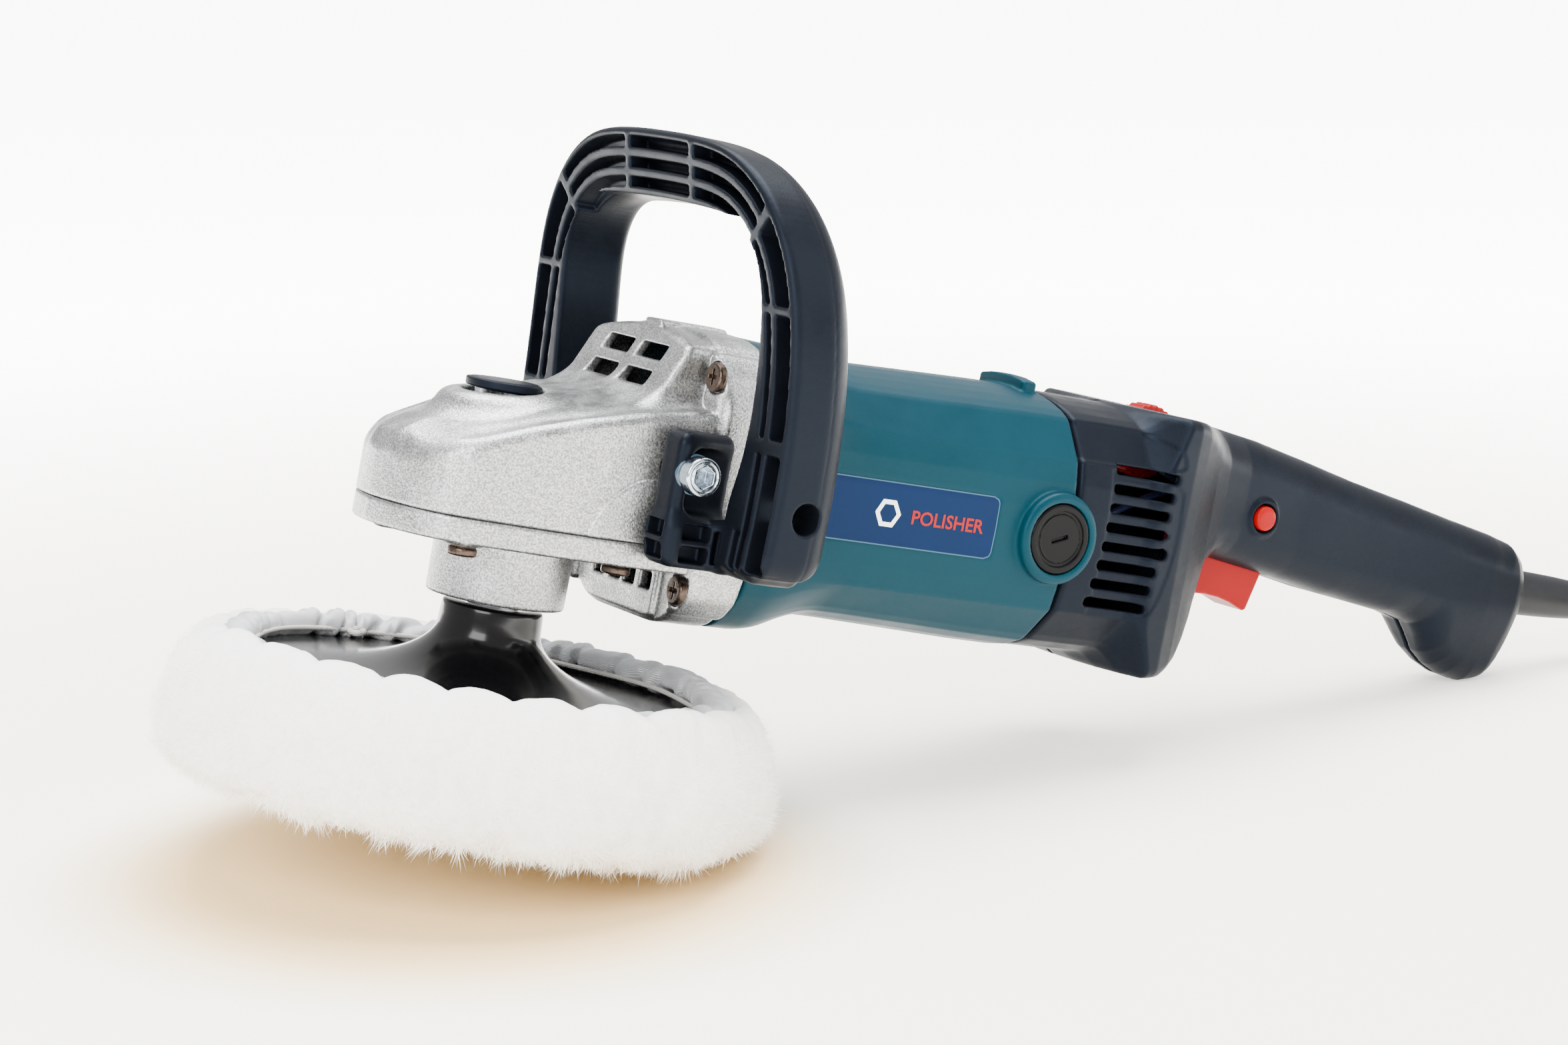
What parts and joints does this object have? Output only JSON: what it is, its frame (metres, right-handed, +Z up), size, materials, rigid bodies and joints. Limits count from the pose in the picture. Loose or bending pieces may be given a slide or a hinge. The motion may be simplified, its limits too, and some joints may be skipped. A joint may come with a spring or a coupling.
{
  "type": "rotary polisher",
  "caption": "Corded rotary polisher with a geared head, loop handle, rear switch handle and a wool bonnet tied over a backing pad.",
  "frame": {"origin": "centre of the object's plan box on the surface it stands on, cord left out", "axes": "+X from the gear head to the rear handle, +Z up; the tool lies nose-up by 12.8 degrees on its bonnet and rear foot, so its spindle leans towards +X by that angle"},
  "size_m": [0.7161, 0.227, 0.22],
  "materials": {
    "cast_case": "blasted die-casting with a fine metallic sparkle",
    "bronze_screw": "dark bronze passivated steel",
    "black_nylon": "satin moulded glass-filled nylon",
    "teal_nylon": "satin moulded nylon",
    "label_blue": "printed plastic label",
    "black_gloss": "glossy moulded plastic",
    "red_plastic": "bright red moulded plastic",
    "zinc_steel": "bright zinc plate",
    "steel": "machined steel",
    "gear_steel": "hardened steel",
    "core_steel": "stacked electrical steel",
    "copper": "enamelled copper wire",
    "brass": "pressed brass",
    "carbon": "pressed carbon",
    "spring_steel": "spring wire",
    "rubber_black": "nitrile rubber",
    "cord_jacket": "rubber jacket",
    "circuit": "potted electronics",
    "wire_jacket": "insulated wire",
    "wool": "thick cut wool pile",
    "hem_fabric": "woven polyester hem",
    "string": "braided drawstring",
    "plug_plastic": "moulded plug",
    "nickel": "nickel plate"
  },
  "bodies": {
    "tool_body": {"gear_housing": "cast_case", "bearing_box": "cast_case", "bearing_box_screws": "bronze_screw", "flange_screws": "bronze_screw", "spindle_lock_spring": "spring_steel", "loop_handle": "black_nylon", "loop_handle_bolts": "zinc_steel", "loop_handle_spacers": "black_gloss", "motor_housing": "teal_nylon", "side_labels": "label_blue", "brush_holders": "brass", "carbon_brushes": "carbon", "brush_springs": "spring_steel", "brush_caps": "black_gloss", "stator_core": "core_steel", "stator_coils": "copper", "fan_baffle": "black_nylon", "armature_bearing_outers": "steel", "countershaft_bearings": "steel", "spindle_bearing_outers": "steel", "spindle_seal": "rubber_black", "rear_handle_left": "black_nylon", "rear_handle_right": "black_nylon", "handle_screws": "bronze_screw", "trigger_spring": "spring_steel", "switch_body": "black_gloss", "lock_on_spring": "spring_steel", "speed_control_module": "circuit", "internal_wiring": "wire_jacket", "cord_clamp": "black_nylon", "cord_clamp_screws": "bronze_screw", "cord_guard": "rubber_black", "power_cord": "cord_jacket", "cord_coil": "cord_jacket", "cord_tie": "black_nylon", "mains_plug": "plug_plastic", "plug_pins": "nickel"},
    "spindle_assembly": {"drive_gear": "gear_steel", "spindle": "steel", "spindle_bearing_inners": "steel", "retaining_rings": "spring_steel", "backing_pad": "black_gloss", "pad_insert": "steel", "wool_bonnet": "wool", "bonnet_hem": "hem_fabric", "drawstring": "string"},
    "countershaft_assembly": {"countershaft": "gear_steel", "bevel_gear": "gear_steel"},
    "armature_assembly": {"armature_shaft": "steel", "armature_core": "core_steel", "armature_windings": "copper", "commutator": "copper", "armature_bearing_inners": "steel", "bevel_pinion": "gear_steel", "cooling_fan": "black_nylon"},
    "spindle_lock": {"spindle_lock_button": "black_nylon", "spindle_lock_pin": "steel"},
    "trigger_lever": {"trigger": "red_plastic"},
    "lock_on": {"lock_on_button": "red_plastic"},
    "speed_wheel": {"speed_dial": "red_plastic"}
  },
  "joints": [
    {"name": "spindle_spin", "type": "hinge", "parent": "tool_body", "child": "spindle_assembly", "pos_m": [-0.15946, 0, 0.08566], "axis": [0.2215, 0, 0.9751], "continuous": true},
    {"name": "countershaft_spin", "type": "hinge", "parent": "tool_body", "child": "countershaft_assembly", "pos_m": [-0.11769, 0, 0.11719], "axis": [0.2215, 0, 0.9751], "continuous": true},
    {"name": "armature_spin", "type": "hinge", "parent": "tool_body", "child": "armature_assembly", "pos_m": [-0.03358, 0, 0.09808], "axis": [0.9751, 0, -0.2215], "continuous": true},
    {"name": "spindle_lock_press", "type": "slide", "parent": "tool_body", "child": "spindle_lock", "axis": [-0.2215, 0, -0.9751], "range_m": [0, 0.0034], "stiffness_N_per_m": 900, "springref_m": -0.004, "deforming": ["spindle_lock_spring"]},
    {"name": "trigger_pull", "type": "hinge", "parent": "tool_body", "child": "trigger_lever", "pos_m": [0.11249, 0, 0.06848], "axis": [0, -1, 0], "range_deg": [0, 7], "stiffness_Nm_per_rad": 0.5, "springref_deg": -11.46, "deforming": ["trigger_spring"]},
    {"name": "lock_on_press", "type": "slide", "parent": "tool_body", "child": "lock_on", "axis": [0, 1, 0], "range_m": [0, 0.002], "stiffness_N_per_m": 500, "springref_m": -0.003, "deforming": ["lock_on_spring"]},
    {"name": "speed_dial_turn", "type": "hinge", "parent": "tool_body", "child": "speed_wheel", "pos_m": [0.09004, 0, 0.10506], "axis": [0, 1, 0], "range_deg": [-135, 135]}
  ],
  "couplings": [
    {"joint": "countershaft_spin", "follows": "spindle_spin", "ratio": -4},
    {"joint": "armature_spin", "follows": "spindle_spin", "ratio": -9.6}
  ]
}
